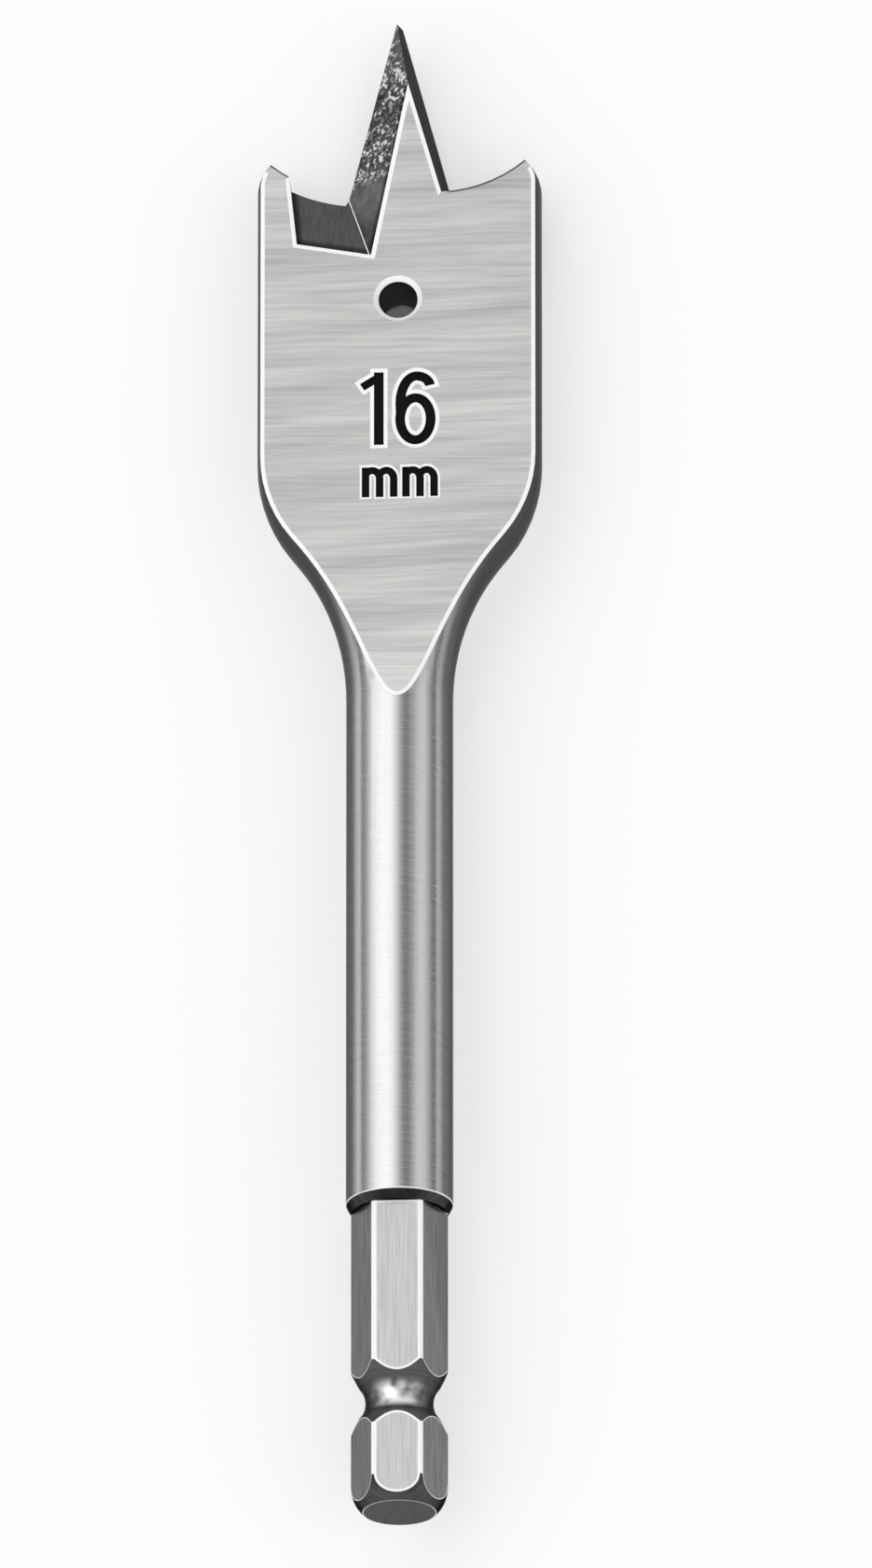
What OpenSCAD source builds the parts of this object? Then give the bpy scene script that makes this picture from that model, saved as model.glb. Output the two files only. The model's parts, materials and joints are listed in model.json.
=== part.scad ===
// Spade drill bit: one forged and ground piece of steel with a hex shank end,
// a round shank, a flared blade, two cutting lips with spurs and a centre point.
// The bit is drawn upright, tip up, with its front face towards -Y, and is then
// laid down as it comes to rest: on the end of its back flat's run-out and on the
// flat of its point, with the front face up and the tip towards +Y.

/* [Hex shank end] */
// Width across the flats
hex_flats = 4.76; // [4:0.01:5.2]
// Diameter that the hex corners are turned down to
hex_corners = 5.4; // [5.2:0.01:5.9]
// Height of the top of the hex above the end face
hex_top = 17.65; // [14:0.05:22]
// Diameter of the flat end face
end_face = 4.13; // [3:0.01:4.6]
// Radius of the round between the end face and the turned corners
end_round = 2; // [1.6:0.05:2.6]
// Height of the middle of the ball groove
groove_mid = 6.4; // [5:0.05:9]
// Smallest diameter in the ball groove
groove_floor = 3.8; // [3:0.05:4.2]
// Diameter where the round of the groove meets the cones of its rims
groove_crease = 4.6; // [4.4:0.05:4.7]
// Width of the groove at that diameter
groove_width = 2.1; // [1.6:0.05:2.6]
// Width of the groove with its cones, at the turned corners
groove_mouth = 3.7; // [3:0.05:4.5]

/* [Round shank] */
// Diameter of the round shank
shank_d = 6; // [5.6:0.05:7]
// Length of the cone between the hex and the round shank
shank_step = 0.55; // [0.3:0.05:2]
// Height where the shank starts to flare
flare_start = 48.3; // [40:0.1:52]
// Radius of the hollow curve at the foot of the flare
flare_hollow = 14.5; // [10:0.1:18]
// Radius of the round shoulder at the top of the flare
flare_shoulder = 8; // [5:0.1:9]
// Steepest slope of the flare from the axis
flare_slope = 37; // [32:1:40]

/* [Blade] */
// Cutting diameter, which the size mark gives
blade_d = 16; // [14:0.1:18]
// Thickness between the two flats
blade_t = 4.1; // [3:0.05:4.6]
// Height where each flat runs out on the shank
run_out = 47.6; // [44:0.1:48.2]
// Radius of the grinding wheel's run-out
run_out_wheel = 42; // [25:1:80]
// Height of the hole through the blade
hole_z = 71.9; // [68:0.1:73]
// Diameter of the hole
hole_d = 2.2; // [1.5:0.05:3]
// Width of the bevel round the hole
hole_bevel = 0.27; // [0.1:0.01:0.4]

/* [Cutting lips] */
// Lowest height of the lips
lip_z = 78.3; // [77:0.1:79.5]
// Distance of the lowest place of each lip from the axis
lip_x = 2.2; // [1.6:0.1:2.8]
// Radius of the hollow of each lip
lip_hollow = 7.6; // [6.2:0.1:9]
// Distance of each spur's tip inside the cutting diameter
spur_inset = 0.56; // [0.3:0.01:1]
// Radius of the round outside each spur
spur_round = 1.7; // [1.2:0.05:2.4]
// Width of the blade outside the pocket's foot
pocket_wall = 2.3; // [1.8:0.05:3]
// Lean of the pocket's outer wall
pocket_lean = 6; // [0:1:10]
// Height of the pocket's foot at its outer wall
pocket_z = 75.3; // [74.2:0.1:76]
// Fall of the pocket's foot towards the axis
pocket_fall = 10; // [0:1:14]
// Depth of the pocket along its foot
pocket_step = 0.12; // [0.1:0.01:0.4]
// Slope of the pocket's floor along the bit
pocket_slope = 28; // [18:1:31]

/* [Centre point] */
// Height of the tip, the length of the bit
tip_z = 89.2; // [86:0.1:93]
// Half angle of the point, seen on the flat
point_half = 15.7; // [13:0.1:18]
// Slant of the point's trailing sides across the thickness
point_relief = 17; // [10:1:20]
// Slope of the ground facet under each leading edge
facet_slope = 45; // [40:1:52]
// Lean of the facet's border on the flat
facet_lean = 11.3; // [9:0.1:13]
// Distance of that border's foot from the axis
facet_x = 1.35; // [1:0.05:1.7]

/* [Hidden] */
$fn = 96;

half_turn = 180;
hex_sides = 6;
// Spare length by which a cutter passes the surface that it cuts
over = 1;
// Size of a block that reaches past the whole bit
block = 4 * tip_z;

shank_r = shank_d / 2;
blade_r = blade_d / 2;
flat_h = blade_t / 2;
shank_foot = hex_top + shank_step;

// Round at the hex end, tangent to the turned corners: its reach on the end face, and its centre
end_reach = end_face / 2 - hex_corners / 2 + end_round;
end_mid = [hex_corners / 2 - end_round, sqrt(pow(end_round, 2) - pow(end_reach, 2))];

// Ball groove: an arc through its floor and its two creases, and the step from there to the mouth
groove_depth = (groove_crease - groove_floor) / 2;
groove_arc = (pow(groove_width / 2, 2) + pow(groove_depth, 2)) / (2 * groove_depth);
groove_rim = [(hex_corners - groove_crease) / 2, (groove_mouth - groove_width) / 2];

// Flare: a hollow arc, a straight stretch and a round shoulder, all tangent
hollow_end = [shank_r + flare_hollow * (1 - cos(flare_slope)), flare_start + flare_hollow * sin(flare_slope)];
shoulder_rise = flare_shoulder * (1 - cos(flare_slope));
straight_z = (blade_r - shoulder_rise - hollow_end[0]) / tan(flare_slope);
shoulder_foot = [blade_r - shoulder_rise, hollow_end[1] + straight_z];
blade_foot = shoulder_foot[1] + flare_shoulder * sin(flare_slope);

// Flats: the wheel touches the blade's face at this height
flat_drop = shank_r - flat_h;
wheel_z = run_out + sqrt(2 * run_out_wheel * flat_drop - pow(flat_drop, 2));

// Lips: hollow arcs that rise to the spurs, and a turned round that falls from there to the blade's edge
lip_mid = lip_z + lip_hollow;
spur_x = sqrt(pow(blade_r - spur_inset, 2) - pow(flat_h, 2));
spur_z = lip_mid - sqrt(pow(lip_hollow, 2) - pow(spur_x - lip_x, 2));
spur_foot = spur_z - sqrt(pow(spur_round, 2) - pow(spur_round - spur_inset, 2));
pocket_x = blade_r - pocket_wall;

// Foremost place of the point's flat, where the facet's border meets the trailing side's
point_flat_z = (tip_z * tan(point_half) - flat_h * tan(point_relief) + facet_x + pocket_z * tan(facet_lean))
    / (tan(point_half) + tan(facet_lean));

// Rest: the bit tips forward until the point's flat touches the surface, just ahead of the spurs
rest_pitch = atan(flat_drop / (point_flat_z - run_out));
rest_z = run_out * sin(rest_pitch) + shank_r * cos(rest_pitch);
point_edge = flat_h - tan(facet_slope) * ((tip_z - pocket_z) * tan(facet_lean) - facet_x);
rest_front = tip_z * cos(rest_pitch) + point_edge * sin(rest_pitch);
rest_back = -end_face / 2 * sin(rest_pitch);
rest_y = (rest_front + rest_back) / 2;

// Everything on the far side of a plane through a point, on the side that its normal points to
module beyond(point, normal) {
    translate(point)
        rotate([0, acos(normal[2] / norm(normal)), atan2(normal[1], normal[0])])
            translate([-block / 2, -block / 2, 0])
                cube(block);
}

// A flat outline in X and Z, as a bar along Y
module across_bit(length) {
    rotate([90, 0, 0])
        linear_extrude(height = length, center = true)
            children();
}

// Half section that the hex is turned to: straight corners and a round end
module hex_section() {
    translate([0, end_mid[1]])
        square([hex_corners / 2, shank_foot - end_mid[1]]);
    intersection() {
        translate(end_mid)
            circle(r = end_round);
        square([hex_corners / 2, end_mid[1]]);
    }
}

// Half section of the ball groove, with cones that run on past the turned corners
module groove_section() {
    mouth = [groove_crease / 2 + 2 * groove_rim[0], groove_width / 2 + 2 * groove_rim[1]];
    translate([0, groove_mid]) {
        translate([groove_floor / 2 + groove_arc, 0])
            circle(r = groove_arc);
        polygon([
            [groove_crease / 2, -groove_width / 2],
            [mouth[0], -mouth[1]],
            mouth,
            [groove_crease / 2, groove_width / 2],
        ]);
    }
}

// The hex with its turned corners, round end and ball groove
module hex_end() {
    difference() {
        intersection() {
            cylinder(h = shank_foot, d = hex_flats / cos(half_turn / hex_sides), $fn = hex_sides);
            rotate_extrude()
                hex_section();
        }
        rotate_extrude()
            groove_section();
    }
}

// Half section of the round shank, the flare and the blade's turned edge
module turned_section() {
    difference() {
        union() {
            polygon([
                [0, hex_top],
                [hex_corners / 2, hex_top],
                [shank_r, shank_foot],
                [shank_r, flare_start],
                hollow_end,
                shoulder_foot,
                [blade_r, blade_foot],
                [blade_r, spur_foot],
                [blade_r - spur_round, spur_foot],
                [blade_r - spur_round, spur_foot + spur_round],
                [0, spur_foot + spur_round],
            ]);
            intersection() {
                translate([blade_r - spur_round, spur_foot])
                    circle(r = spur_round);
                translate([blade_r - spur_round, spur_foot])
                    square(spur_round);
            }
            intersection() {
                translate([blade_r - flare_shoulder, blade_foot])
                    circle(r = flare_shoulder);
                translate([0, shoulder_foot[1]])
                    square([blade_r, blade_foot - shoulder_foot[1]]);
            }
        }
        translate([shank_r + flare_hollow, flare_start])
            circle(r = flare_hollow);
    }
}

// What the wheel takes off one side: a flat along the blade and a hollow run-out on the shank
module wheel_cut() {
    rotate([90, 0, 90])
        linear_extrude(height = 2 * blade_d, center = true)
            union() {
                translate([-block - flat_h, wheel_z])
                    square(block);
                intersection() {
                    translate([-flat_h - run_out_wheel, wheel_z])
                        circle(r = run_out_wheel);
                    translate([-flat_h - run_out_wheel, wheel_z - run_out_wheel])
                        square([run_out_wheel, run_out_wheel]);
                }
            }
}

// The hollows above the two lips, and the level between them
module lip_hollows() {
    across_bit(2 * blade_d)
        union() {
            for (side = [-1, 1])
                translate([side * lip_x, lip_mid])
                    circle(r = lip_hollow);
            translate([-lip_x, lip_z])
                square([2 * lip_x, lip_hollow]);
        }
}

// The centre point: a bar between the two flats, with its trailing sides ground to the tip
module point_blank() {
    difference() {
        translate([-lip_hollow, -flat_h, hole_z])
            cube([2 * lip_hollow, blade_t, tip_z + over - hole_z]);
        for (turn = [0, half_turn])
            rotate([0, 0, turn])
                beyond([0, 0, tip_z], [1, -tan(point_relief), tan(point_half)]);
    }
}

// The pocket in front of one lip and the facet that runs from it to the tip
module gullet() {
    reach = tip_z - pocket_z + over;
    foot_run = pocket_x + facet_x;
    floor_normal = [tan(pocket_slope) * tan(pocket_fall), -1, tan(pocket_slope)];
    intersection() {
        across_bit(2 * blade_d)
            polygon([
                [-pocket_x, pocket_z],
                [facet_x, pocket_z - foot_run * tan(pocket_fall)],
                [facet_x, pocket_z + reach],
                [-pocket_x - reach * tan(pocket_lean), pocket_z + reach],
            ]);
        beyond([-pocket_x, pocket_step - flat_h, pocket_z], floor_normal);
        beyond([-facet_x, -flat_h, pocket_z], [-1, -1 / tan(facet_slope), tan(facet_lean)]);
    }
}

// The hole through the blade with its two bevelled rims
module blade_hole() {
    translate([0, 0, hole_z])
        rotate([90, 0, 0]) {
            cylinder(h = blade_t + 2 * over, d = hole_d, center = true);
            for (side = [0, half_turn])
                rotate([side, 0, 0])
                    translate([0, 0, flat_h - hole_bevel])
                        cylinder(h = 2 * hole_bevel, d1 = hole_d, d2 = hole_d + 4 * hole_bevel);
        }
}

// The whole bit, upright
module upright_bit() {
    difference() {
        union() {
            hex_end();
            difference() {
                rotate_extrude()
                    turned_section();
                lip_hollows();
                for (turn = [0, half_turn])
                    rotate([0, 0, turn])
                        wheel_cut();
            }
            point_blank();
        }
        for (turn = [0, half_turn])
            rotate([0, 0, turn])
                gullet();
        blade_hole();
    }
}

module spade_bit() {
    color("silver")
        translate([0, -rest_y, rest_z])
            rotate([-90 - rest_pitch, 0, 0])
                upright_bit();
}

spade_bit();
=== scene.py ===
# %% [markdown]
# # A spade drill bit, finished in Blender
#
# The bit is one piece of steel: a hex end for the chuck, a round shank, and a flat blade that was
# forged, turned on its edges and ground on its faces. Its solid already has every size and cut, so
# this lesson only does what a finisher does: break the sharp edges, stamp the size mark, and give
# each surface the grain that its tool left behind.

# %% Load the solid
import json
import math

import bmesh
import bpy
from mathutils import Matrix, Vector


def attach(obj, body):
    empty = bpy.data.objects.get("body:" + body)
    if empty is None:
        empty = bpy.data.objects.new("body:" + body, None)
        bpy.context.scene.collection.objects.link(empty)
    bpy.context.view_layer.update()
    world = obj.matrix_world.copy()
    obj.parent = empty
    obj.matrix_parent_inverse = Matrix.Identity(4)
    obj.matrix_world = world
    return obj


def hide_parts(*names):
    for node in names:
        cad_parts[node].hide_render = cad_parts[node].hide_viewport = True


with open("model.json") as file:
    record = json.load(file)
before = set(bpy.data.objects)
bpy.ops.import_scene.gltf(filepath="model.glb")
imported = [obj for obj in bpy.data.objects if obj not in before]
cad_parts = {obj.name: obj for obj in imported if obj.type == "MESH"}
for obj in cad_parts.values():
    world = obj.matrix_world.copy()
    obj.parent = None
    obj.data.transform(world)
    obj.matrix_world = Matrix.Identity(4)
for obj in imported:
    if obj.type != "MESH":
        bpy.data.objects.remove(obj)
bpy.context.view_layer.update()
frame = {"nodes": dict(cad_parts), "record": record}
MM = 0.001

# %% [markdown]
# ## The bit's own axes
#
# The bit lies as it came to rest, tipped forward a little, so the world's axes aren't quite its own.
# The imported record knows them: the hex mount's axis points out of the hex end, and the hole's axis
# points out of the front flat. With those two, every later place can be given as a maker would give
# it: so far across, so far along from the hex end, so high above the middle.

# %% Axes and a place helper
mounts = {mount["name"]: mount for mount in frame["record"]["mounts"]}
HEX_END = Vector(mounts["hex_shank"]["pos_m"])
ALONG = -Vector(mounts["hex_shank"]["axis"]).normalized()
FRONT = Vector(mounts["blade_hole"]["axis"]).normalized()
ACROSS = ALONG.cross(FRONT).normalized()


def place(across, along, height):
    """A point of the bit in world metres, from millimetres along the bit's own axes."""
    return HEX_END + (ACROSS * across + ALONG * along + FRONT * height) * MM


def bit_place(point):
    """The reverse: a world point as (across, along, height) in millimetres."""
    arm = (point - HEX_END) / MM
    return arm.dot(ACROSS), arm.dot(ALONG), arm.dot(FRONT)


print("bit is tipped", round(math.degrees(math.asin(-ALONG.z)), 2), "degrees forward")

# %% [markdown]
# ## The camera
#
# The picture looks down on the front flat, leaning towards the hex end so that the end face just
# shows, and a little from the right. Parallel edges stay parallel in it, so the camera stands far
# off with a very long lens. An orthographic camera could do nearly the same, but a lens keeps the
# trace of depth that a real camera gives. Its aim is the middle of the bit, moved aside by the
# picture's empty margin.

# %% Camera
PICTURE_W, PICTURE_H = 935, 1681
PIXELS_PER_MM = 19.15
MIDDLE_PX = Vector((428.6, 819.0))
BIT_LENGTH = 89.2
LEAN = math.radians(21.2)
TURN = math.radians(3.2)
CAMERA_DISTANCE = 2.0

to_camera = (
    ACROSS * math.sin(TURN) * math.cos(LEAN)
    + FRONT * math.cos(TURN) * math.cos(LEAN)
    - ALONG * math.sin(LEAN)
)
picture_up = (ALONG - to_camera * ALONG.dot(to_camera)).normalized()
picture_right = picture_up.cross(to_camera)
aim = (
    place(0, BIT_LENGTH / 2, 0)
    + picture_right * (PICTURE_W / 2 - MIDDLE_PX.x) / PIXELS_PER_MM * MM
    + picture_up * (MIDDLE_PX.y - PICTURE_H / 2) / PIXELS_PER_MM * MM
)
lens = bpy.data.cameras.new("camera")
lens.lens = lens.sensor_width * CAMERA_DISTANCE / (PICTURE_H / PIXELS_PER_MM * MM)
camera = bpy.data.objects.new("camera", lens)
bpy.context.collection.objects.link(camera)
camera_axes = Matrix((picture_right, picture_up, to_camera)).transposed().to_4x4()
camera.matrix_world = Matrix.Translation(aim + to_camera * CAMERA_DISTANCE) @ camera_axes
bpy.context.scene.camera = camera
print("lens", round(lens.lens), "mm")

# %% [markdown]
# ## Shader sums written as Python
#
# A material is a small web of nodes, and most of those nodes only add or multiply. Wrapping a socket
# in a class that knows Python's operators lets the web be written as a formula, such as `1 - mask`.
# Every other kind of node comes from one method, which sets its options first and its sockets after.

# %% A wire that can be added and multiplied


class Wire:
    """One output socket, with operators that add Math nodes."""

    def __init__(self, bench, socket):
        self.bench = bench
        self.socket = socket

    def sum_with(self, operation, other, swapped=False):
        pair = (other, self) if swapped else (self, other)
        return self.bench.add("ShaderNodeMath", {0: pair[0], 1: pair[1]}, operation=operation)

    def __add__(self, other):
        return self.sum_with("ADD", other)

    __radd__ = __add__

    def __mul__(self, other):
        return self.sum_with("MULTIPLY", other)

    __rmul__ = __mul__

    def __sub__(self, other):
        return self.sum_with("SUBTRACT", other)

    def __rsub__(self, other):
        return self.sum_with("SUBTRACT", other, swapped=True)

    def __abs__(self):
        return self.bench.add("ShaderNodeMath", {0: self}, operation="ABSOLUTE")

    def ramp(self, low, high, to_low=0.0, to_high=1.0):
        """A smooth climb from one value to another while this wire goes from low to high."""
        ends = {"Value": self, "From Min": low, "From Max": high, "To Min": to_low, "To Max": to_high}
        return self.bench.add("ShaderNodeMapRange", ends, interpolation_type="SMOOTHSTEP")

    def fade(self, low, high, to_high=0.0):
        """The same the other way: from one down to a smaller value."""
        return self.ramp(low, high, 1.0, to_high)

    def vary(self, depth):
        """A noise, which lies round a half, as a swing of some depth to both sides of nought."""
        return (self - 0.5) * depth


print("a wire knows +, -, *, abs, ramp, fade and vary")

# %% A bench that makes the nodes


def grey(level, warmth=0.0):
    """A grey as a colour, warmer above zero."""
    return (level * (1 + warmth), level, level * (1 - warmth), 1.0)


class Bench:
    """A node tree under construction."""

    def __init__(self, tree):
        self.tree = tree
        tree.nodes.clear()

    def add(self, kind, values=None, out=0, **settings):
        node = self.tree.nodes.new(kind)
        for name, value in settings.items():
            setattr(node, name, value)
        for name, value in (values or {}).items():
            if isinstance(value, Wire):
                self.tree.links.new(value.socket, node.inputs[name])
            else:
                node.inputs[name].default_value = value
        return Wire(self, node.outputs[out]) if node.outputs else None

    def dot(self, vector, direction):
        pair = {0: vector, 1: tuple(direction)}
        return self.add("ShaderNodeVectorMath", pair, out="Value", operation="DOT_PRODUCT")

    def vector(self, x, y, z):
        return self.add("ShaderNodeCombineXYZ", {"X": x, "Y": y, "Z": z})

    def noise(self, where, scale=1.0, detail=2.0, roughness=0.5):
        values = {"Vector": where, "Scale": scale, "Detail": detail, "Roughness": roughness}
        return self.add("ShaderNodeTexNoise", values)

    def steel_grey(self, level, warmth=0.0):
        """A brightness as a colour, from black to white with a little warmth."""
        ends = {0: level, 6: grey(0.0), 7: grey(1.0, warmth)}
        return self.add("ShaderNodeMix", ends, out=2, data_type="RGBA")

    def bit_axes(self):
        """Across, along and height above the middle, in millimetres, at the shaded point."""
        point = self.add("ShaderNodeTexCoord", out="Object")
        return [
            (self.dot(point, axis) - HEX_END.dot(axis)) * (1 / MM)
            for axis in (ACROSS, ALONG, FRONT)
        ]


print("the bench is ready")

# %% [markdown]
# ## From a finish to a material
#
# Each finish below is one function, which returns a colour, a roughness, a bump and the bump's depth
# in millimetres. All are laid out on the bit's own axes, so that grain runs across the bit or along
# it with no unwrapping. A noise is drawn out along an axis by a small factor and squeezed by a large
# one. How metallic a finish is, and how much it shines at a grazing view, is the same all over it, so
# those two go straight onto the shader.

# %% Materials and their slots
materials, SLOT = [], {}


def add_finish(name, finish, metallic=1.0, rim_shine=1.0):
    """Makes one finish's material and gives it the next slot of the bit's mesh."""
    material = bpy.data.materials.new(name)
    material.use_nodes = True
    bench = Bench(material.node_tree)
    colour, roughness, bump, bump_mm = finish(bench)
    values = {
        "Base Color": colour,
        "Roughness": roughness,
        "Metallic": metallic,
        "Specular Tint": grey(rim_shine),
    }
    if bump is not None:
        values["Normal"] = bench.add(
            "ShaderNodeBump", {"Strength": 1.0, "Distance": bump_mm * MM, "Height": bump}
        )
    shader = bench.add("ShaderNodeBsdfPrincipled", values)
    bench.add("ShaderNodeOutputMaterial", {"Surface": shader})
    SLOT[name] = len(materials)
    materials.append(material)
    print("slot", SLOT[name], "is", name, "with", len(material.node_tree.nodes), "nodes")


print("ready for the first finish")

# %% [markdown]
# ## Ground flats
#
# The wheel that ground the flats ran across the bit, so their grain is short wavy lines from side to
# side, with slow clouds of lighter and darker steel. A picture of brushed metal could be laid on, but
# it would blur close up and repeat. Stretched noise gives lines at every size, and a slower noise
# bends them. A thin dark line of painted shade follows each hollow lip, whose arc is known from the
# solid.

# %% Flats
LIP_ACROSS, LIP_MIDDLE, LIP_HOLLOW = 2.2, 85.9, 7.6
FLAT_DARK, FLAT_BRIGHT, FLAT_WARMTH = 0.59, 0.71, 0.022
FLAT_CLOUD = 0.52
LIP_SHADE = 0.85


def brushed_flat(bench):
    across, along, height = bench.bit_axes()
    drift = bench.noise(bench.vector(across * 0.12, along * 0.3, height))
    lines = bench.vector(across * 0.11, along * 4.5 + drift * 3.0, height)
    grain = bench.noise(lines, detail=4.0, roughness=0.62)
    fine = bench.noise(bench.vector(across * 0.3, along * 20.0 + drift * 4.0, height))
    cloud = bench.noise(bench.vector(across * 0.06, along * 0.9 - across * 0.07, height), detail=3.0)
    reach = bench.vector(abs(across) - LIP_ACROSS, along - LIP_MIDDLE, 0.0)
    radius = bench.add("ShaderNodeVectorMath", {0: reach}, out="Value", operation="LENGTH")
    # A painted shade line along the edge of each hollow lip.
    lip_shade_line = (radius - LIP_HOLLOW).fade(0.04, 0.14) * abs(across).ramp(2.6, 3.0)
    tone = grain.ramp(0.32, 0.62, FLAT_DARK, FLAT_BRIGHT) + fine.vary(0.07) + cloud.vary(FLAT_CLOUD)
    colour = bench.steel_grey(tone * (1 - lip_shade_line * LIP_SHADE), FLAT_WARMTH)
    return colour, 0.34 - grain.vary(0.16), grain * 0.6 + fine * 0.4, 0.008


add_finish("flat_steel", brushed_flat)

# %% [markdown]
# ## Turned shank
#
# The shank is bright on its front and back, and its colour darkens down its sides as painted shade.
# Reflections alone could draw that, but a pale floor lights the sides up again. Slanted rings and
# faint lines along the shank are laid out by the angle round its axis. Towards the blade the colour
# darkens over the forged flare, as painted shade for the dark that its sides reflect.

# %% Shank and flare
SIDE_TOP, FRONT_FOOT = 1.5, 2.35
SHADED_SIDE_LEVEL, SHANK_FRONT = 0.18, 0.74
FLARE_FROM, FLARE_TO, FLARE_SHADE_LEVEL = 47.0, 57.0, 0.11


def turned_steel(bench):
    across, along, height = bench.bit_axes()
    around = bench.add("ShaderNodeMath", {0: across, 1: height}, operation="ARCTAN2")
    draw = bench.noise(bench.vector(around * 9.0, along * 0.05, 0.0), detail=3.0)
    turns = bench.vector(around * 1.6, along * 9.0 + around * 4.0, 0.0)
    ring = bench.noise(turns, detail=5.0, roughness=0.65)
    # Painted shade: darker down the shank's sides, and darker over the flare towards the blade.
    shaded_flare = along.ramp(FLARE_FROM, FLARE_TO)
    shank = abs(height).ramp(SIDE_TOP, FRONT_FOOT, SHADED_SIDE_LEVEL, SHANK_FRONT)
    bright = shank + draw.vary(0.1) + ring.vary(0.22)
    tone = bright * (1 - shaded_flare) + shaded_flare * (FLARE_SHADE_LEVEL + draw.vary(0.1))
    colour = bench.steel_grey(tone, warmth=0.008)
    return colour, 0.24 + shaded_flare * 0.08 + ring.vary(0.2), ring, 0.006


add_finish("turned_steel", turned_steel, rim_shine=0.4)

# %% [markdown]
# ## Milled hex
#
# The hex was cut from the round bar by a tool that ran along it and left straight lines. One function
# makes them from two noises that are long along the bit. Its front and back are bright, and its sides
# are a darker copy of the same finish, as painted shade. The studio could darken them, but a white
# floor lights them up again.

# %% Front and sides of the hex


def hex_grain(bench, level, depth):
    """Lines along the hex, round one brightness and with one strength."""
    across, along, height = bench.bit_axes()
    draw = bench.noise(bench.vector(across * 9.0, along * 0.35, height * 9.0), detail=4.0)
    fine = bench.noise(bench.vector(across * 28.0, along * 0.7, height * 28.0))
    tone = level + draw.vary(depth) + fine.vary(depth) * 0.5
    colour = bench.steel_grey(tone, warmth=0.006)
    return colour, 0.32 + draw.vary(0.16), draw * 0.6 + fine * 0.4, 0.01


def brushed_hex(bench):
    return hex_grain(bench, level=0.72, depth=0.28)


# Painted shade: the hex's sides, and the wall of the blade's hole, in a darker copy of the hex's
# finish.
def painted_shade_hex(bench):
    return hex_grain(bench, level=0.23, depth=0.26)


add_finish("hex_steel", brushed_hex)
add_finish("painted_shade_steel", painted_shade_hex, rim_shine=0.4)

# %% [markdown]
# ## Ball groove
#
# The groove was turned into the hex, so it has fine rings, and a painted highlight lies as a bright
# patch on its dark floor. A mask that fades out from the groove's middle, broken up by a noise,
# keeps that patch uneven.

# %% Groove
GROOVE_MIDDLE = 6.4
GROOVE_LEVEL, GROOVE_HIGHLIGHT_LEVEL = 0.08, 0.9


def turned_groove(bench):
    across, along, height = bench.bit_axes()
    ring = bench.noise(bench.vector(across * 0.3, along * 14.0, height * 0.3), detail=3.0)
    patch = bench.noise(bench.vector(across, along, height), scale=0.7)
    # A painted highlight in the middle of the groove.
    groove_highlight = abs(along - GROOVE_MIDDLE).fade(0.1, 1.0) * abs(across).fade(0.4, 1.7)
    tone = GROOVE_LEVEL + ring.vary(0.08) + groove_highlight * patch.ramp(0.35, 0.55) * GROOVE_HIGHLIGHT_LEVEL
    return bench.steel_grey(tone), 0.24 + ring * 0.1, ring, 0.004


add_finish("groove_steel", turned_groove, rim_shine=0.3)

# %% [markdown]
# ## Dark edges
#
# The cone above the hex, the rounded hex end and the edges that no wheel polished share one dark
# finish, which is painted shade for the dark they reflect. It is a little lighter on the point, and
# nearly black in the middle of the cone, as painted shade where the shank's edge shades it.

# %% Edges and cone
EDGE_LEVEL, POINT_LEVEL = 0.065, 0.13
CONE_SHADE = 0.7


def painted_edge_shade(bench):
    across, along, height = bench.bit_axes()
    draw = bench.noise(bench.vector(across * 0.6, along * 0.5, height * 7.0), detail=4.0)
    # Painted shade: nearly black in the middle of the cone.
    cone = along.ramp(17.0, 17.6) * along.fade(18.6, 19.2) * abs(across).fade(0.8, 2.4, 0.2)
    level = along.ramp(77.5, 78.5, EDGE_LEVEL, POINT_LEVEL)
    colour = bench.steel_grey((level + draw.vary(0.1)) * (1 - cone * CONE_SHADE))
    return colour, 0.32 + draw.vary(0.2), draw, 0.008


add_finish("edge_shade_steel", painted_edge_shade, rim_shine=0.25)

# %% [markdown]
# ## Pocket and facet
#
# In front of each lip lies a smooth ground pocket, and beside it the facet of the point, which was
# ground rough, with its sparkle painted into its colour as glints. Both are darker in their corners,
# where little light gets in, as painted shade. Three straight lines bound them, and the distance from
# each line gives the shade. The back of the bit is its front turned half round, so the helper first
# asks which way the surface looks.

# %% Places on the head
POCKET_ALONG, POCKET_WALL = 75.3, 5.7
WALL_LEAN, FOOT_FALL = math.tan(math.radians(6)), math.tan(math.radians(10))
BORDER_LEAN, BORDER_FOOT = math.tan(math.radians(11.3)), 1.35


def head_place(bench, across, along):
    """How far aside and how far up from the pocket's foot, seen from the side that is shaded."""
    looks = bench.dot(bench.add("ShaderNodeNewGeometry", out="Normal"), FRONT)
    aside = across * bench.add("ShaderNodeMath", {0: looks}, operation="SIGN")
    return aside, along - POCKET_ALONG


def from_border(aside, up):
    """The distance from the line where the flat begins beside the point."""
    return up * BORDER_LEAN - aside - BORDER_FOOT


print("the pocket's wall leans", round(math.degrees(math.atan(WALL_LEAN))), "degrees")

# %% Pocket and facet
POCKET_LEVEL = 0.09
FACET_LEVEL, ROUGH_DROP, GLINT_LEVEL = 0.2, 0.1, 1.4


def dark_pocket(bench):
    across, along, height = bench.bit_axes()
    aside, up = head_place(bench, across, along)
    wall = aside + POCKET_WALL + up * WALL_LEAN
    foot = up + (aside + POCKET_WALL) * FOOT_FALL
    border = from_border(aside, up)
    grain = bench.noise(bench.vector(across * 7.0, along * 0.8, height), detail=4.0)
    shade = wall.ramp(0.1, 0.5, 0.3) * foot.ramp(0.2, 0.6, 0.4) * border.ramp(0.0, 0.5, 0.5)
    colour = bench.steel_grey(shade * (POCKET_LEVEL + grain.vary(0.1)))
    return colour, 0.42 + grain.vary(0.2), grain, 0.012


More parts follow.
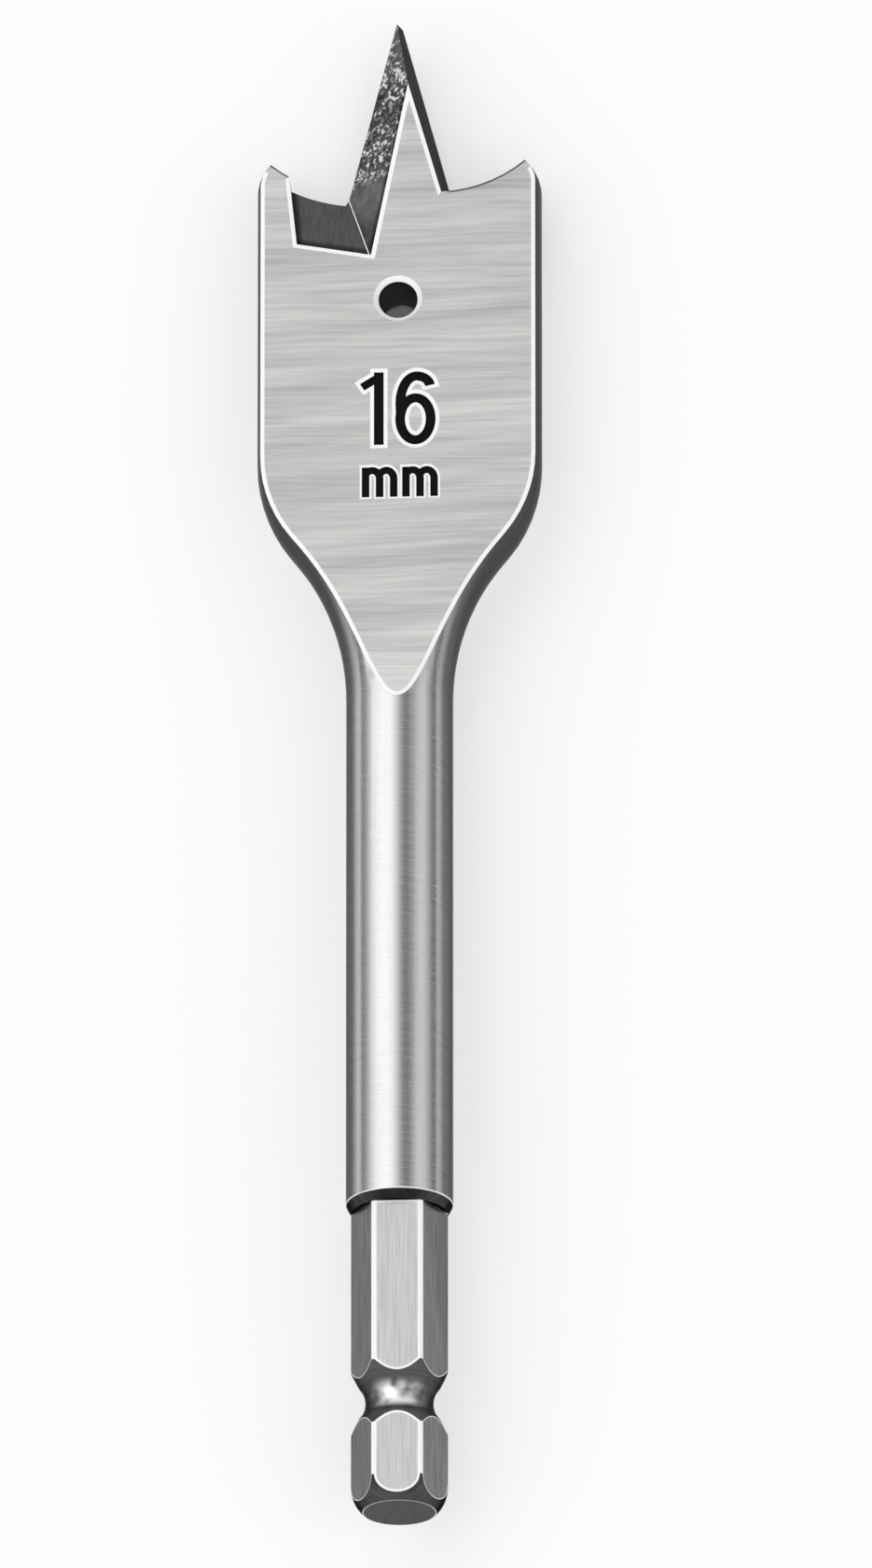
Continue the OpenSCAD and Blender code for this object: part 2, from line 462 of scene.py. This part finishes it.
def rough_facet(bench):
    across, along, height = bench.bit_axes()
    border = from_border(*head_place(bench, across, along))
    where = bench.vector(across, along, height)
    rough = along.ramp(79.0, 80.2) * along.fade(84.5, 87.5, 0.55)
    pits = bench.noise(where, scale=1.5, detail=4.0, roughness=0.6)
    spark = bench.noise(where, scale=3.6, detail=4.0, roughness=0.7)
    # Painted glints, where the rough facet would sparkle.
    glint_specks = spark.ramp(0.49, 0.6) * rough * pits.ramp(0.4, 0.58, 0.15)
    tone = FACET_LEVEL - rough * ROUGH_DROP + pits.vary(0.3) + glint_specks * GLINT_LEVEL
    colour = bench.steel_grey(border.ramp(0.02, 0.36, 0.2) * tone)
    return colour, 0.4 - glint_specks * 0.1, (pits + spark * 0.4) * rough, 0.1


add_finish("pocket_steel", dark_pocket, rim_shine=0.2)
add_finish("facet_steel", rough_facet, rim_shine=0.4)

# %% [markdown]
# ## End face, bright rims and the mark's paint
#
# The sawn end of the hex is dull and dark. The rims are a painted highlight: their steel is nearly a
# matt white that shines from every side without waiting for a reflection.
# The mark's black paint isn't metal at all.

# %% End, rims and paint
END_LEVEL, RIM_HIGHLIGHT_LEVEL, PAINT_LEVEL = 0.14, 0.94, 0.003


def end_face(bench):
    across, along, height = bench.bit_axes()
    grain = bench.noise(bench.vector(across * 3.0, along, height * 3.0), detail=4.0)
    return bench.steel_grey(END_LEVEL + grain.vary(0.1)), 0.36 + grain.vary(0.2), grain, 0.01


# A painted highlight: a near-white matt for the rims and bevels.
def painted_white_highlight(bench):
    grain = bench.noise(bench.vector(*bench.bit_axes()), scale=5.0, detail=3.0)
    return bench.steel_grey(RIM_HIGHLIGHT_LEVEL + grain.vary(0.1)), 0.5 + grain.vary(0.1), None, 0.0


def mark_paint(bench):
    grain = bench.noise(bench.vector(*bench.bit_axes()), scale=9.0, detail=3.0)
    return bench.steel_grey(PAINT_LEVEL + grain * 0.004), 0.7 + grain.vary(0.2), None, 0.0


add_finish("end_steel", end_face, rim_shine=0.4)
add_finish("painted_highlight_steel", painted_white_highlight, metallic=0.1)
add_finish("mark_black", mark_paint, metallic=0.0, rim_shine=0.1)

# %% [markdown]
# ## A mesh that can be worked
#
# The solid arrives as triangles. Welding its points and joining the triangles that lie in one plane
# gives back whole faces, and whole faces can be told apart by where they lie and which way they look.
# Painting them by hand would do for one bit, but a rule still holds when the solid is built again.

# %% Weld the solid into whole faces
WELD = 0.0002
SAME_PLANE = math.radians(0.3)

work = bmesh.new()
work.from_mesh(frame["nodes"]["spade_bit"].data)
bmesh.ops.remove_doubles(work, verts=work.verts, dist=WELD * MM)
bmesh.ops.dissolve_limit(work, angle_limit=SAME_PLANE, verts=work.verts, edges=work.edges)
print("whole faces", len(work.faces))

# %% Name the faces
# Places are in millimetres, and a look is the share of a face's normal that points one way.
HEX_TOP, SHANK_FOOT = 17.6, 18.3
GROOVE_LOW, GROOVE_HIGH = 4.6, 8.2
FLAT_FOOT, FLAT_RISE = 47.3, 2
HOLE_ALONG, HOLE_REACH = 71.9, 1.5
HEAD_FOOT, HEAD_HALF = 74.0, 6.6
SQUARE_ON, FLAT_TILT = 0.9, 0.03
HEX_FRONT, HEX_CORNER, HEX_ROUND = 0.2, 0.7, 0.02
CONE_LOOK = 0.1
HOLE_BEVEL_LOW, HOLE_BEVEL_HIGH = 0.5, 0.95
POCKET_LOOK, FACET_LOOK, EDGE_LOOK = 0.8, 0.5, 0.1


def face_place(face):
    return bit_place(face.calc_center_median())


def is_by_hole(face):
    across, along = face_place(face)[:2]
    return math.hypot(across, along - HOLE_ALONG) < HOLE_REACH


def finish_of(face):
    """The finish that a face gets, by its place on the bit and the way it looks."""
    across, along, height = face_place(face)
    to_front = abs(face.normal.dot(FRONT))
    to_side = abs(face.normal.dot(ACROSS))
    to_tip = face.normal.dot(ALONG)
    if along < HEX_TOP:
        if to_tip < -SQUARE_ON:
            return "end_steel"
        if GROOVE_LOW < along < GROOVE_HIGH:
            return "groove_steel"
        if to_tip < -HEX_ROUND:
            return "edge_shade_steel"
        if to_side < HEX_FRONT:
            return "hex_steel"
        # The hex's corners get the painted highlight, and its sides the painted shade.
        return "painted_highlight_steel" if to_side < HEX_CORNER else "painted_shade_steel"
    if along < SHANK_FOOT and to_tip < -CONE_LOOK:
        return "edge_shade_steel"
    if is_by_hole(face):
        # The hole's bevel gets the painted highlight, and its wall the painted shade.
        is_bevel = HOLE_BEVEL_LOW < to_front < HOLE_BEVEL_HIGH
        return "painted_highlight_steel" if is_bevel else "painted_shade_steel"
    is_level = to_side < FLAT_TILT and to_front > SQUARE_ON
    if is_level and along > FLAT_FOOT and abs(height) > FLAT_RISE:
        return "flat_steel"
    if along > HEAD_FOOT and abs(across) < HEAD_HALF:
        if to_front > POCKET_LOOK:
            return "pocket_steel"
        if to_front > FACET_LOOK:
            return "facet_steel"
        return "edge_shade_steel" if to_tip > EDGE_LOOK else "pocket_steel"
    return "turned_steel"


print("finishes found", sorted({finish_of(face) for face in work.faces}))

# %% [markdown]
# ## Rims and broken edges
#
# A perfectly sharp edge never shines, and a real one always does. Along each flat runs a narrow rim
# of painted highlight, made by insetting the flat and letting its border drop a little, and the hex
# has narrower ones.
# Bevels would do the same, but where they meet at the hex's corners they cross each other. Along the
# lips the flat stays level and keeps its own finish. The trim layer remembers which faces are new: it
# holds their finish's slot plus one, and nought on every other face. At a spur the inset's points
# would cross, so points that come that close are welded.

# %% Inset the flats
RIM_WIDTH = 0.23
TRIMMED = {name: slot + 1 for name, slot in SLOT.items()}
trim = work.faces.layers.int.new("trim")


def inset(faces, width):
    """Draws the border of some faces inwards, and returns the new faces along it."""
    made = bmesh.ops.inset_region(
        work, faces=faces, thickness=width * MM, use_boundary=True, use_even_offset=True
    )
    return made["faces"]


flat_faces = [face for face in work.faces if finish_of(face) == "flat_steel"]
ring_faces = [
    face for face in work.faces
    if finish_of(face) == "painted_highlight_steel" and face_place(face)[1] > FLAT_FOOT
]
rim_faces = inset(flat_faces + ring_faces, RIM_WIDTH)
print("rim of", len(rim_faces), "faces round", len(flat_faces), "flat faces")

# %% Drop the rims, but not along the lips
RIM_DROP = 0.04
FOLD = 0.1
LIP_FOOT, LIP_LOOK = 77.5, 0.5


def is_lip(face):
    return face.normal.dot(ALONG) > LIP_LOOK and face_place(face)[1] > LIP_FOOT


inside = {*flat_faces, *ring_faces, *rim_faces}
dropped, kept_level = set(), set()
for face in rim_faces:
    borders = [edge for edge in face.edges if not inside.issuperset(edge.link_faces)]
    border_verts = {vert for edge in borders for vert in edge.verts}
    if any(is_lip(other) for edge in borders for other in edge.link_faces if other not in inside):
        face[trim] = TRIMMED["flat_steel"]
        kept_level |= border_verts
        continue
    # The rims get the painted highlight.
    face[trim] = TRIMMED["painted_highlight_steel"]
    if not is_by_hole(face):
        dropped |= border_verts
for vert in dropped - kept_level:
    vert.co -= FRONT * math.copysign(RIM_DROP * MM, bit_place(vert.co)[2])
inner = {vert for face in flat_faces for vert in face.verts if bit_place(vert.co)[1] > LIP_FOOT}
in_order = [vert for vert in work.verts if vert in inner]
bmesh.ops.remove_doubles(work, verts=in_order, dist=FOLD * MM)
work.normal_update()
print("dropped", len(dropped - kept_level), "points of the rims")

# %% Rims of the hex
HEX_RIM = 0.13
SIDE_RIM = 0.05

# The front of the hex gets a rim of painted highlight, and its sides and end get rims of its bright
# steel.
for finish, width, rim_finish in (
    ("hex_steel", HEX_RIM, "painted_highlight_steel"),
    ("painted_shade_steel", SIDE_RIM, "hex_steel"),
    ("end_steel", SIDE_RIM, "hex_steel"),
):
    region = [
        face for face in work.faces
        if not face[trim] and finish_of(face) == finish and face_place(face)[1] < HEX_TOP
    ]
    for face in inset(region, width):
        face[trim] = TRIMMED[rim_finish]
    print("rim round", len(region), "faces of", finish)

# %% [markdown]
# ## Two fine bevels
#
# The crease between the pocket and the facet shows a hairline of painted highlight, and the lower
# edge of the round shank catches the light as a hairline of bright hex steel. Neither meets another
# bevel, so here Blender's own bevel does the work, with one segment, which is all that shows at this
# size.

# %% Bevels
BEVEL_CREASE = 0.03
BEVEL_SHANK = 0.05
SHANK_RIM_REACH = 0.2
SHARP = math.radians(22)


def bevel(wanted, size, finish):
    """Bevels every edge that is wanted, and gives the new faces one finish."""
    edges = [edge for edge in work.edges if wanted(edge)]
    made = bmesh.ops.bevel(
        work, geom=edges, offset=size * MM, offset_type="OFFSET",
        segments=1, profile=0.5, affect="EDGES", material=-1,
    )
    for face in made["faces"]:
        face[trim] = TRIMMED[finish]
    print("bevelled", len(edges), "edges with", finish)


def is_sharp(edge):
    return len(edge.link_faces) == 2 and edge.calc_face_angle() > SHARP


def is_crease(edge):
    return {finish_of(face) for face in edge.link_faces} == {"pocket_steel", "facet_steel"}


def is_shank_rim(edge):
    """The sharp lower edge of the round shank."""
    along = bit_place((edge.verts[0].co + edge.verts[1].co) / 2)[1]
    is_near = SHANK_FOOT - SHANK_RIM_REACH < along < SHANK_FOOT
    return is_near and is_sharp(edge) and edge.is_convex


# The crease's hairline is a painted highlight.
bevel(is_crease, BEVEL_CREASE, "painted_highlight_steel")
bevel(is_shank_rim, BEVEL_SHANK, "hex_steel")

# %% Give each face its finish
# The bevel returns its faces in an order that changes from run to run, so they are sorted first.
work.verts.index_update()
sorted_faces = sorted(work.faces, key=lambda face: sorted(vert.index for vert in face.verts))
rank = {face: index for index, face in enumerate(sorted_faces)}
work.faces.sort(key=rank.get)

ground_bit = bpy.data.objects.new("ground_bit", bpy.data.meshes.new("ground_bit"))
for face in work.faces:
    face.material_index = face[trim] - 1 if face[trim] else SLOT[finish_of(face)]
work.to_mesh(ground_bit.data)
work.free()
for material in materials:
    ground_bit.data.materials.append(material)
bpy.context.collection.objects.link(ground_bit)
print("finished faces", len(ground_bit.data.polygons))

# %% [markdown]
# ## The size mark
#
# The bit's size is stamped into the front flat and filled with black. Blender's own text could be cut
# in, but its letters aren't a punch's. Here each sign is a few strokes: a path on the flat, given a
# width. A stroke becomes a thin bar, and the bars are cut out of the flat with a Boolean. A wide
# shallow cut leaves a rim in the painted highlight, and a narrow deep one the black.

# %% Paths of the signs, in millimetres from each sign's lower left corner
DIGIT_WIDTH, DIGIT_TOP = 0.55, 4.38
FLAG_SHARE = 0.86
LETTER_WIDTH, LETTER_TOP = 0.43, 1.8


def bow(middle, radii, start, stop, steps=14):
    """Points on part of an ellipse, from one angle to another, in degrees."""
    angles = [math.radians(start + (stop - start) * step / steps) for step in range(steps + 1)]
    return [
        Vector((middle[0] + radii[0] * math.cos(angle), middle[1] + radii[1] * math.sin(angle)))
        for angle in angles
    ]


def digits():
    """Strokes of the number: each is a width, a path and whether the path closes."""
    one, six = 1.08, 3.14
    crown = six + 0.05
    stem = [Vector((one, 0)), Vector((one, DIGIT_TOP))]
    flag = [Vector((0.14, 3.5)), Vector((one, DIGIT_TOP - 0.3))]
    bowl = bow((six, 1.53), (0.86, 1.27), 0, 360, steps=40)[:-1]
    back = [Vector((six - 0.83, 1.95))] + bow((crown, 2.5), (0.9, 1.62), 180, 95)
    hook = bow((crown, 3.46), (0.78, 0.66), 90, 8)
    return [
        (DIGIT_WIDTH, stem, False),
        (DIGIT_WIDTH * FLAG_SHARE, flag, False),
        (DIGIT_WIDTH, bowl, True),
        (DIGIT_WIDTH, back + hook, False),
    ]


def letter():
    """Strokes of one small m: a stem and two arches that end in legs."""
    stem_at, arch_width = 0.19, 0.79
    paths = [[Vector((stem_at, 0)), Vector((stem_at, LETTER_TOP))]]
    for start in (stem_at, stem_at + arch_width):
        leg_foot = Vector((start + arch_width, 0))
        paths.append(bow((start + 0.37, 1.1), (0.42, 0.51), 150, 0) + [leg_foot])
    return [(LETTER_WIDTH, path, False) for path in paths]


print("strokes", len(digits()), "in the number and", len(letter()), "in each letter")

# %% A stroke as a bar
FLAT_HEIGHT = 2.05
PUNCH_TOP = 0.3


def add_bar(bars, width, path, closed, grow, depth, corner):
    """One stroke as a bar through the flat's surface, grown all round by a rim."""
    path = [point + corner for point in path]
    if not closed:
        path[0] = path[0] + (path[0] - path[1]).normalized() * grow
        path[-1] = path[-1] + (path[-1] - path[-2]).normalized() * grow
    count = len(path)
    posts = []
    for index, point in enumerate(path):
        before = path[index - 1] if closed or index else point
        after = path[(index + 1) % count] if closed or index < count - 1 else point
        run = (after - before).normalized()
        side = Vector((-run.y, run.x)) * (width / 2 + grow)
        posts.append([
            bars.verts.new(place(spot.x, spot.y, FLAT_HEIGHT + lift))
            for spot in (point + side, point - side)
            for lift in (-depth, PUNCH_TOP + depth)
        ])
    for index in range(count if closed else count - 1):
        (a, b, c, d), (e, f, g, h) = posts[index], posts[(index + 1) % count]
        for ring in ((b, d, h, f), (a, e, g, c), (a, b, f, e), (c, g, h, d)):
            bars.faces.new(ring)
    if not closed:
        for a, b, c, d in (posts[0], posts[-1]):
            bars.faces.new((a, c, d, b))
    bmesh.ops.recalc_face_normals(bars, faces=bars.faces)


def make_bar(stroke, grow, depth, corner, finish):
    """One stroke as an object, in the finish that its cut leaves behind."""
    shape = bmesh.new()
    add_bar(shape, *stroke, grow, depth, corner)
    for face in shape.faces:
        face.material_index = SLOT[finish]
    bar = bpy.data.objects.new("bar", bpy.data.meshes.new("bar"))
    shape.to_mesh(bar.data)
    shape.free()
    for material in materials:
        bar.data.materials.append(material)
    bpy.context.collection.objects.link(bar)
    return bar


print("bars stand at least", PUNCH_TOP, "mm above the flat")

# %% Stamp the mark
DIGIT_CORNER = Vector((-2.15, 63.05))
LETTER_CORNER, LETTER_STEP = Vector((-2.0, 59.9)), Vector((2.27, 0))
MARK_RIM, LETTER_RIM_SHARE = 0.22, 0.55
RIM_DEPTH, PAINT_DEPTH = 0.03, 0.12
STROKE_STEP = 0.002


def work_with(target, tool, operation):
    """Joins a tool to a target, or cuts it out, and throws the tool away."""
    step = target.modifiers.new("step", "BOOLEAN")
    step.operation = operation
    step.object = tool
    step.solver = "EXACT"
    step.material_mode = "INDEX"
    shaped = target.evaluated_get(bpy.context.evaluated_depsgraph_get())
    shape = bpy.data.meshes.new_from_object(shaped)
    target.modifiers.clear()
    target.data = shape
    bpy.data.objects.remove(tool)


def stamp(grow, depth, finish):
    """Joins the strokes into one punch and cuts it into the flat.

    Each stroke is a hair deeper than the last, so that no two floors meet in one plane.
    """
    groups = [
        (digits(), DIGIT_CORNER, grow),
        (letter(), LETTER_CORNER, grow * LETTER_RIM_SHARE),
        (letter(), LETTER_CORNER + LETTER_STEP, grow * LETTER_RIM_SHARE),
    ]
    bars = []
    for strokes, corner, rim in groups:
        for stroke in strokes:
            bars.append(make_bar(stroke, rim, depth + STROKE_STEP * len(bars), corner, finish))
    punch = bars[0]
    for bar in bars[1:]:
        work_with(punch, bar, "UNION")
    print("punch with", len(bars), "strokes and", len(punch.data.polygons), "faces")
    work_with(ground_bit, punch, "DIFFERENCE")
    print("stamped with", finish)


# The mark's bright rim is a painted highlight.
stamp(MARK_RIM, RIM_DEPTH, "painted_highlight_steel")
stamp(0.0, PAINT_DEPTH, "mark_black")

# %% [markdown]
# ## Smooth shading with crisp edges
#
# The two cuts of the mark leave points that all but coincide, so they are welded first. Every face is
# shaded smooth, so that the round shank shows no facets, and an edge is kept crisp where it is sharp or
# where two finishes meet. Then the piece is told to ride on the part's only body, and the solid it
# replaces is hidden.

# %% Crisp edges, and the solid is hidden
work = bmesh.new()
work.from_mesh(ground_bit.data)
bmesh.ops.remove_doubles(work, verts=work.verts, dist=WELD * MM)
for edge in work.edges:
    edge.smooth = not is_sharp(edge) and len({face.material_index for face in edge.link_faces}) == 1
for face in work.faces:
    face.smooth = True
work.to_mesh(ground_bit.data)
work.free()
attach(ground_bit, "root")
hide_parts("spade_bit")
print("finished bit has", len(ground_bit.data.polygons), "faces")

# %% [markdown]
# ## The floor
#
# The floor is plain white paper that carries the shadow. Lit paper alone comes out a little grey, and
# more light would bleach the steel, so the rays that see the floor, straight or in a reflection, get
# it half mixed with plain white. Under the blade's hole that lift is left off, because the hole has to
# stay dark.

# %% Floor
FLOOR_HALF = 1.5
PAPER_GREY = 0.97
PAPER_LIFT = 0.5
HOLE_SHADE = 3.6

floor_mesh = bpy.data.meshes.new("floor")
corners = [(x * FLOOR_HALF, y * FLOOR_HALF, 0) for x, y in ((-1, -1), (1, -1), (1, 1), (-1, 1))]
floor_mesh.from_pydata(corners, [], [(0, 1, 2, 3)])
floor = bpy.data.objects.new("floor", floor_mesh)
bpy.context.collection.objects.link(floor)
print("floor is", 2 * FLOOR_HALF, "m wide")

# %% Paper
paper = bpy.data.materials.new("white_paper")
paper.use_nodes = True
bench = Bench(paper.node_tree)
straight, mirrored, through = [
    bench.add("ShaderNodeLightPath", out=ray)
    for ray in ("Is Camera Ray", "Is Glossy Ray", "Is Transmission Ray")
]
ends = {0: bench.add("ShaderNodeTexCoord", out="Object"), 1: tuple(place(0, HOLE_ALONG, 0))}
from_hole = bench.add("ShaderNodeVectorMath", ends, out="Value", operation="DISTANCE")
clear = from_hole.ramp(HOLE_SHADE * MM, 2 * HOLE_SHADE * MM)
lift = (straight + mirrored + through) * clear * PAPER_LIFT
sheet = bench.add("ShaderNodeBsdfDiffuse", {"Color": grey(PAPER_GREY)})
white = bench.add("ShaderNodeEmission", {"Color": grey(1.0), "Strength": 1.0})
paper_look = bench.add("ShaderNodeMixShader", {0: lift, 1: sheet, 2: white})
bench.add("ShaderNodeOutputMaterial", {"Surface": paper_look})
floor_mesh.materials.append(paper)
print("paper has", len(paper.node_tree.nodes), "nodes")

# %% [markdown]
# ## The studio
#
# Polished steel looks like whatever stands round it. Lamps could be set up one by one, but a world
# that is painted by direction gives even light with nothing in the way of the camera. Long soft boxes
# lie along the bit, a bright one on the left and a weaker one on the right, with a darker gap above
# and a dark horizon, and they draw the long stripes on the shank. Towards both ends of the bit plain
# fill light takes over from the boxes.

# %% World
LEFT_LIGHT, RIGHT_LIGHT, FILL = 1.15, 0.62, 1.2
GAP_LIGHT, HORIZON_LIGHT = 0.15, 0.03

world = bpy.data.worlds.new("studio")
bpy.context.scene.world = world
world.use_nodes = True
bench = Bench(world.node_tree)
direction = bench.add("ShaderNodeTexCoord", out="Generated")
aside, forward, overhead = [bench.dot(direction, axis) for axis in ((1, 0, 0), (0, 1, 0), (0, 0, 1))]
# Degrees from straight overhead, with the left below zero.
swing = bench.add("ShaderNodeMath", {0: aside, 1: overhead}, operation="ARCTAN2") * math.degrees(1)
left_box = swing.ramp(-92, -36) * swing.fade(-20, 16)
right_box = swing.ramp(20, 44) * swing.fade(52, 88)
gap = abs(swing).ramp(60, 90, GAP_LIGHT, HORIZON_LIGHT)
stripes = gap + left_box * LEFT_LIGHT + right_box * RIGHT_LIGHT
boxes = forward.ramp(-0.15, 0.1) * forward.fade(0.6, 0.8)
light = boxes * stripes + (1 - boxes) * FILL
glow = bench.add("ShaderNodeBackground", {"Color": grey(1.0), "Strength": light})
bench.add("ShaderNodeOutputWorld", {"Surface": glow})
print("studio has", len(world.node_tree.nodes), "nodes")

# %% [markdown]
# ## Colours as written
#
# Blender's usual view softens bright colours as film does. The Standard view shows each colour as it
# was written above, which is what a part in a library needs.

# %% View
bpy.context.scene.view_settings.view_transform = "Standard"
print("view is", bpy.context.scene.view_settings.view_transform)
